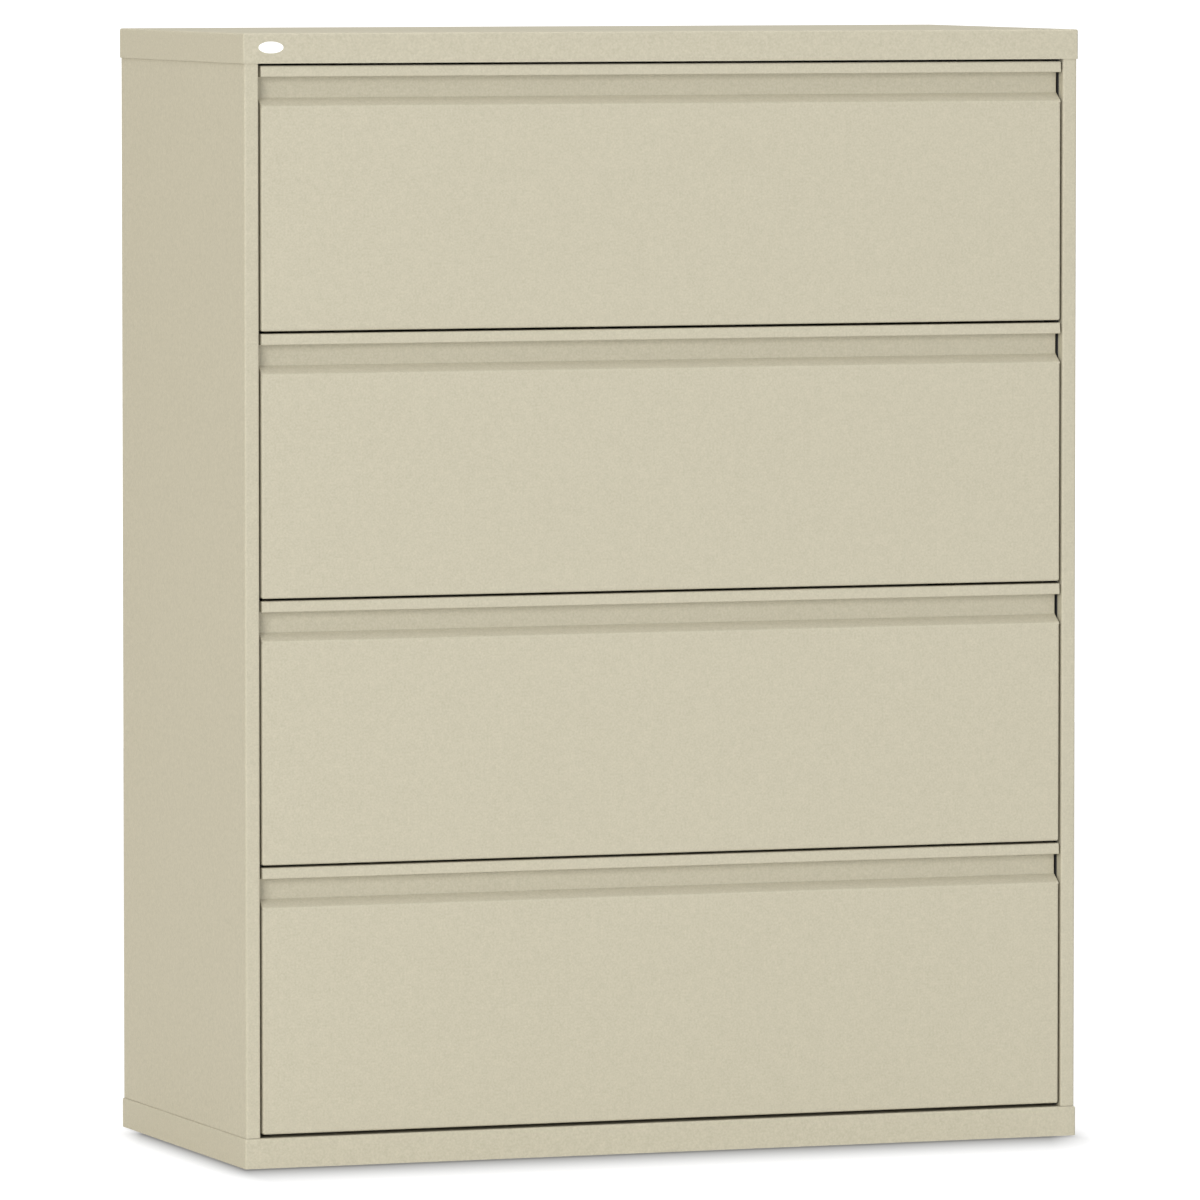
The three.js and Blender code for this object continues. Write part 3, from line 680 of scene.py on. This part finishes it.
# Slides. Each drawer runs on two telescoping slides of three roll-formed, zinc-plated members with steel
# balls between them. The outer member is fixed to the uprights and the inner one to the drawer.
MEMBER_FOLD = 0.0014
MEMBER_SHEET = 0.0012
RACE_SHEET = 0.0015
RACE_LIP = 0.002
CARRIAGE_HALF = 0.0174
BALL_RADIUS = 0.0016
BALL_PITCH = 0.0165
BALLS = 12
OUTER_BALLS = 0.01975
INNER_BALLS = 0.01505
STRIP_SIZE = (0.006, 0.195, 0.0008)
STRIP_AWAY = 0.0985
BALL_DARK = (0.62, 0.62, 0.63)
BALL_LIGHT = (0.72, 0.72, 0.73)
zinc_slide = zinc_plate("zinc_plate_slide", (STREAK_FINE, STREAK_LONG, STREAK_FINE))
ball_steel = mottled("ball_steel", 300, (0.08, 0.16), BALL_DARK, BALL_LIGHT, bump=0.02, metallic=1)

drops = {}
for drawer in (1, 2, 3, 4):
    drops[drawer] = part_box("drawer_1_front")[1].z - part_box(f"drawer_{drawer}_front")[1].z


def copy_piece(piece, name, drop, mirror=False):
    """A copy with its own mesh, lowered to another drawer or mirrored to the other side."""
    select_only(piece)
    bpy.ops.object.duplicate()
    copy = bpy.context.object
    copy.name = name
    copy.location.z -= drop
    copy.scale.x = -1 if mirror else 1
    bpy.ops.object.transform_apply(location=True, rotation=True, scale=True)
    if mirror:
        smooth(copy)
    return copy


def member(name, node, section, sheet):
    """A slide member over the box of a CAD node, its section drawn in (x, z) about its middle."""
    low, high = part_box(node)
    middle = (low.z + high.z) / 2
    return fold_sheet(name, [(x, middle + z) for x, z in section], "Y", low.y, high.y, sheet, MEMBER_FOLD)


def race(edge, web, half):
    """A channel with its flanges turned in at the edges to hold the balls."""
    lip = half - RACE_LIP
    return [(edge, lip), (edge, half), (web, half), (web, -half), (edge, -half), (edge, -lip)]


low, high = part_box("drawer_1_right_cabinet_member")
section = race(low.x + RACE_SHEET / 2, high.x - RACE_SHEET / 2, (high.z - low.z - RACE_SHEET) / 2)
cabinet_member = member("cabinet_member", "drawer_1_right_cabinet_member", section, RACE_SHEET)

low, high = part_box("drawer_1_right_drawer_member")
half = (high.z - low.z - MEMBER_SHEET) / 2
web = low.x + MEMBER_SHEET / 2
section = [(high.x, half), (web, half), (web, -half), (high.x, -half)]
drawer_member = member("drawer_member", "drawer_1_right_drawer_member", section, MEMBER_SHEET)

low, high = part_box("drawer_1_right_middle_member")
section = race(low.x + MEMBER_SHEET / 2, high.x - MEMBER_SHEET / 2, CARRIAGE_HALF)
middle_member = member("middle_member", "drawer_1_right_middle_member", section, MEMBER_SHEET)
middle = (low + high) / 2
strips, balls = [], []
for away, across in ((1, OUTER_BALLS), (1, -OUTER_BALLS), (-1, INNER_BALLS), (-1, -INNER_BALLS)):
    deselect()
    place = middle + Vector((0, away * STRIP_AWAY, across))
    bpy.ops.mesh.primitive_cube_add(size=1, location=place)
    strip = bpy.context.object
    strip.scale = STRIP_SIZE
    bpy.ops.object.transform_apply(location=True, rotation=True, scale=True)
    strips.append(strip)
    deselect()
    first = place - Vector((0, (BALLS - 1) / 2 * BALL_PITCH, 0))
    bpy.ops.mesh.primitive_ico_sphere_add(subdivisions=3, radius=BALL_RADIUS, location=first)
    ball = bpy.context.object
    bpy.ops.object.transform_apply(location=True, rotation=True, scale=True)
    apply_modifier(ball, "ARRAY", count=BALLS, use_relative_offset=False, use_constant_offset=True,
                   constant_offset_displace=(0, BALL_PITCH, 0))
    balls.append(ball)
select_only(middle_member, *strips)
bpy.ops.object.join()
select_only(*balls)
bpy.ops.object.join()
ball_rows = balls[0]
bpy.ops.object.shade_smooth()

for drawer, drop in drops.items():
    for side in ("left", "right"):
        name = f"drawer_{drawer}_{side}"
        for master, kind, body in (
            (cabinet_member, "cabinet_member", "case"),
            (middle_member, "middle_member", f"drawer_{drawer}_carriage"),
            (drawer_member, "drawer_member", f"drawer_{drawer}"),
        ):
            made = copy_piece(master, f"{name}_{kind}_formed", drop, side == "left")
            place_piece(made, zinc_slide, body, "zinc_steel", f"{name}_{kind}")
        made = copy_piece(ball_rows, f"{name}_balls", drop, side == "left")
        place_piece(made, ball_steel, f"drawer_{drawer}_carriage", "zinc_steel")
for master in (cabinet_member, middle_member, drawer_member, ball_rows):
    bpy.data.objects.remove(master)


# Drawer trays. The floor and sides are one folded sheet, with a back and a tall inner front let in between
# them, all spot welded and powder coated. Rivets hold the inner slide members to the sides.
TRAY_WALL = 0.240
TRAY_FLANGE = 0.012
RIVET_RADIUS = 0.0045
RIVET_HEIGHT = 0.0014
RIVET_PLACES = (-0.17, -0.01, 0.15)

low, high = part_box("drawer_1_tray")
side, floor_z, rim = high.x - SHEET / 2, low.z + SHEET / 2, low.z + TRAY_WALL - SHEET / 2
back_y, inner_y = high.y - SHEET / 2, low.y + SHEET / 2
flange = side - TRAY_FLANGE
section = [(-flange, rim), (-side, rim), (-side, floor_z), (side, floor_z), (side, rim), (flange, rim)]
tray = fold_sheet("tray", section, "Y", low.y, high.y, SHEET, FOLD)
section = [(high.y - TRAY_FLANGE, rim), (back_y, rim), (back_y, floor_z)]
tray_back = fold_sheet("tray_back", section, "X", -side, side, SHEET, FOLD)
tray_front = fold_sheet("tray_front", [(inner_y, floor_z), (inner_y, high.z)], "X", -side, side, SHEET, FOLD)
select_only(tray, tray_back, tray_front)
bpy.ops.object.join()

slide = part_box("drawer_1_right_drawer_member")
rivet_z = (slide[0].z + slide[1].z) / 2
wall = high.x - SHEET
rivet_rows = []
for hand in (-1, 1):
    places = [(hand * wall, y, rivet_z) for y in RIVET_PLACES]
    rivet_rows.append(heads("rivets", RIVET_RADIUS, RIVET_HEIGHT, places, (0, -hand * math.pi / 2, 0)))
select_only(*rivet_rows)
bpy.ops.object.join()
rivets = rivet_rows[0]

for drawer, drop in drops.items():
    made = copy_piece(tray, f"drawer_{drawer}_body", drop)
    place_piece(made, putty, f"drawer_{drawer}", "putty_paint", f"drawer_{drawer}_tray")
    made = copy_piece(rivets, f"drawer_{drawer}_rivets", drop)
    place_piece(made, zinc_slide, f"drawer_{drawer}", "zinc_steel")
bpy.data.objects.remove(tray)
bpy.data.objects.remove(rivets)


# Hang rails and strikers. Two folded steel angles lie across each tray for hanging folders. The striker is a
# bracket on the tray's back with the pin that works the interlock bar, and its CAD shape is shown as it is.
RAIL_SHEET = 0.0015
RAIL_FOLD = 0.00225
zinc_rail = zinc_plate("zinc_plate_rail", (STREAK_LONG, STREAK_FINE, STREAK_FINE))

for end in ("front", "rear"):
    low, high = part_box(f"drawer_1_{end}_hang_rail")
    foot, leg = (low.y, high.y - RAIL_SHEET / 2) if end == "front" else (high.y, low.y + RAIL_SHEET / 2)
    seat = low.z + RAIL_SHEET / 2
    section = [(foot, seat), (leg, seat), (leg, high.z)]
    rail = fold_sheet("rail", section, "X", low.x, high.x, RAIL_SHEET, RAIL_FOLD)
    for drawer, drop in drops.items():
        made = copy_piece(rail, f"drawer_{drawer}_{end}_folder_rail", drop)
        place_piece(made, zinc_rail, f"drawer_{drawer}", "zinc_steel", f"drawer_{drawer}_{end}_hang_rail")
    bpy.data.objects.remove(rail)
for drawer in drops:
    finish_node(f"drawer_{drawer}_interlock_striker", zinc_rail)


# Drawer fronts. Each is one sheet folded along its upper edge into a lip, a set-back finger recess and a
# slope out to the flat panel, with returns at the sides and a hemmed return below. A small cheek is welded
# on at each end of the slope. The front is powder coated with the case, and screws hold it on.
LIP_HEIGHT = 0.0128
LIP_LEAN = 0.0008
LIP_EDGE = 3
LIP_FOLD = 0.0008
RECESS_DEPTH = 0.015
RECESS_END = 0.0383
SLOPE_END = 0.0483
PANEL_START = 0.0497
CHEEK_END = 0.0495
LIP_RETURN = 0.018
TOP_HEM = 0.011
BOTTOM_HEM = 0.0105
HEM_RELIEF = 0.004
FRONT_SCREWS = (-0.4, -0.2, 0, 0.2, 0.4)
SCREW_DROP = 0.0085
BOTTOM_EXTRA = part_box("drawer_1_front")[0].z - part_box("drawer_4_front")[0].z - drops[4]

low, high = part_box("drawer_1_front")
left, right, bottom = low.x + SHEET / 2, high.x - SHEET / 2, low.z + SHEET / 2
face, hem = low.y + SHEET / 2, high.y - SHEET / 2
section = [
    (hem, high.z - TOP_HEM),
    (hem, high.z - SHEET / 2),
    (face + LIP_LEAN, high.z - SHEET / 2),
    (face, high.z - LIP_HEIGHT),
    (face + RECESS_DEPTH, high.z - LIP_HEIGHT),
    (face + RECESS_DEPTH, high.z - RECESS_END),
    (face, high.z - SLOPE_END),
    (face, high.z - PANEL_START),
    (face, bottom),
]
front = fold_strip("front", section, "X", left, right, FOLD, {LIP_EDGE: LIP_FOLD})


def near(value, *targets):
    """Tells whether a value lies at one of the targets."""
    return any(abs(value - target) < CLOSE for target in targets)


def edge_where(test):
    """A test that both ends of an edge pass."""
    return lambda edge: all(test(vert.co) for vert in edge.verts)


def on_panel_edge(place):
    below = place.z < high.z - PANEL_START + CLOSE
    return near(place.y, face) and below and (near(place.x, left, right) or near(place.z, bottom))


def on_fold(place):
    corner = near(place.x, left, right) and near(place.z, bottom)
    return on_panel_edge(place) or corner or (near(place.y, hem) and near(place.z, bottom))


def is_return_fold(edge):
    ends = [vert.co for vert in edge.verts]
    along = near(ends[0].x, ends[1].x) or all(near(end.z, bottom) for end in ends)
    return along and not edge.is_boundary and all(on_fold(end) for end in ends)


def on_lip_end(place):
    return near(place.x, left, right) and place.y < face + FOLD and place.z > high.z - LIP_HEIGHT - CLOSE


def is_slope_end(edge):
    on_slope = all(RECESS_END - FOLD < high.z - vert.co.z < CHEEK_END for vert in edge.verts)
    return edge.is_boundary and on_slope and any(vert.co.y > face + CLOSE for vert in edge.verts)


pick(front, "EDGE", is_slope_end)
bpy.ops.mesh.extrude_region_move(TRANSFORM_OT_translate={"value": (0, 0, 0)})
bpy.ops.transform.resize(value=(1, 1, 0), center_override=(0, 0, high.z - CHEEK_END))
pick(front, "FACE", lambda cheek: abs(cheek.normal.x) > 0.9)
bpy.ops.mesh.split()
pick(front, "EDGE", lambda edge: edge.is_boundary and edge_where(on_lip_end)(edge))
bpy.ops.mesh.extrude_region_move(TRANSFORM_OT_translate={"value": (0, LIP_RETURN, 0)})
pick(front, "EDGE", lambda edge: edge.is_boundary and edge_where(on_panel_edge)(edge))
bpy.ops.mesh.extrude_region_move(TRANSFORM_OT_translate={"value": (0, hem - face, 0)})
pick(front, "EDGE", edge_where(lambda place: near(place.y, hem) and near(place.z, bottom)))
bpy.ops.mesh.extrude_region_move(TRANSFORM_OT_translate={"value": (0, 0, BOTTOM_HEM)})
bpy.ops.transform.resize(value=(1 - 2 * HEM_RELIEF / (right - left), 1, 1))
pick(front, "EDGE", is_return_fold)
bpy.ops.mesh.bevel(offset=FOLD, segments=FOLD_SEGMENTS, affect="EDGES")
thicken(front, SHEET)

tall_front = copy_piece(front, "tall_front", 0)
bpy.ops.object.mode_set(mode="EDIT")
pick(tall_front, "VERT", lambda vert: vert.co.z < bottom + 2 * BOTTOM_HEM)
bpy.ops.transform.translate(value=(0, 0, -BOTTOM_EXTRA))
bpy.ops.object.mode_set(mode="OBJECT")

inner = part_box("drawer_1_tray")[0].y + SHEET
screw_places = [(x, inner, high.z - SCREW_DROP) for x in FRONT_SCREWS]
front_screws = heads("front_screws", SCREW_RADIUS, SCREW_HEIGHT, screw_places, FACING_REAR, SCREW_CROSS)
for drawer, drop in drops.items():
    made = copy_piece(tall_front if drawer == 4 else front, f"drawer_{drawer}_folded_front", drop)
    place_piece(made, putty, f"drawer_{drawer}", "putty_paint", f"drawer_{drawer}_front")
    made = copy_piece(front_screws, f"drawer_{drawer}_front_screws", drop)
    place_piece(made, zinc_rail, f"drawer_{drawer}", "zinc_steel")
for master in (front, tall_front, front_screws):
    bpy.data.objects.remove(master)


# Top cap. A pan like the base, dropped over the upper ends of the sides and painted with them.
# A small oval plate of white enamel is stuck on its front near the left end.
BADGE_SIZE = (0.031, 0.014)
BADGE_PLACE = (-0.499, 1.3355)
BADGE_THICKNESS = 0.0004
BADGE_ROUND = 0.00015
ENAMEL_DARK = (0.86, 0.86, 0.85)
ENAMEL_LIGHT = (0.92, 0.92, 0.92)

low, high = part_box("top_cap")
low.y += BADGE_THICKNESS
cap = fold_pan("cap", low, high)
smooth(cap)
place_piece(cap, putty, "case", "putty_paint", "top_cap")

enamel = mottled("white_enamel", 90, (0.12, 0.22), ENAMEL_DARK, ENAMEL_LIGHT, bump=0.02, metallic=0)
badge = rods("badge", 64, 0.5, [(0, 0, 0)], BADGE_THICKNESS)
badge.scale = (*BADGE_SIZE, 1)
badge.rotation_euler = (math.pi / 2, 0, 0)
badge.location = (BADGE_PLACE[0], low.y, BADGE_PLACE[1])
bpy.ops.object.transform_apply(location=True, rotation=True, scale=True)
apply_modifier(badge, "BEVEL", width=BADGE_ROUND, segments=2)
smooth(badge)
place_piece(badge, enamel, "case", None)
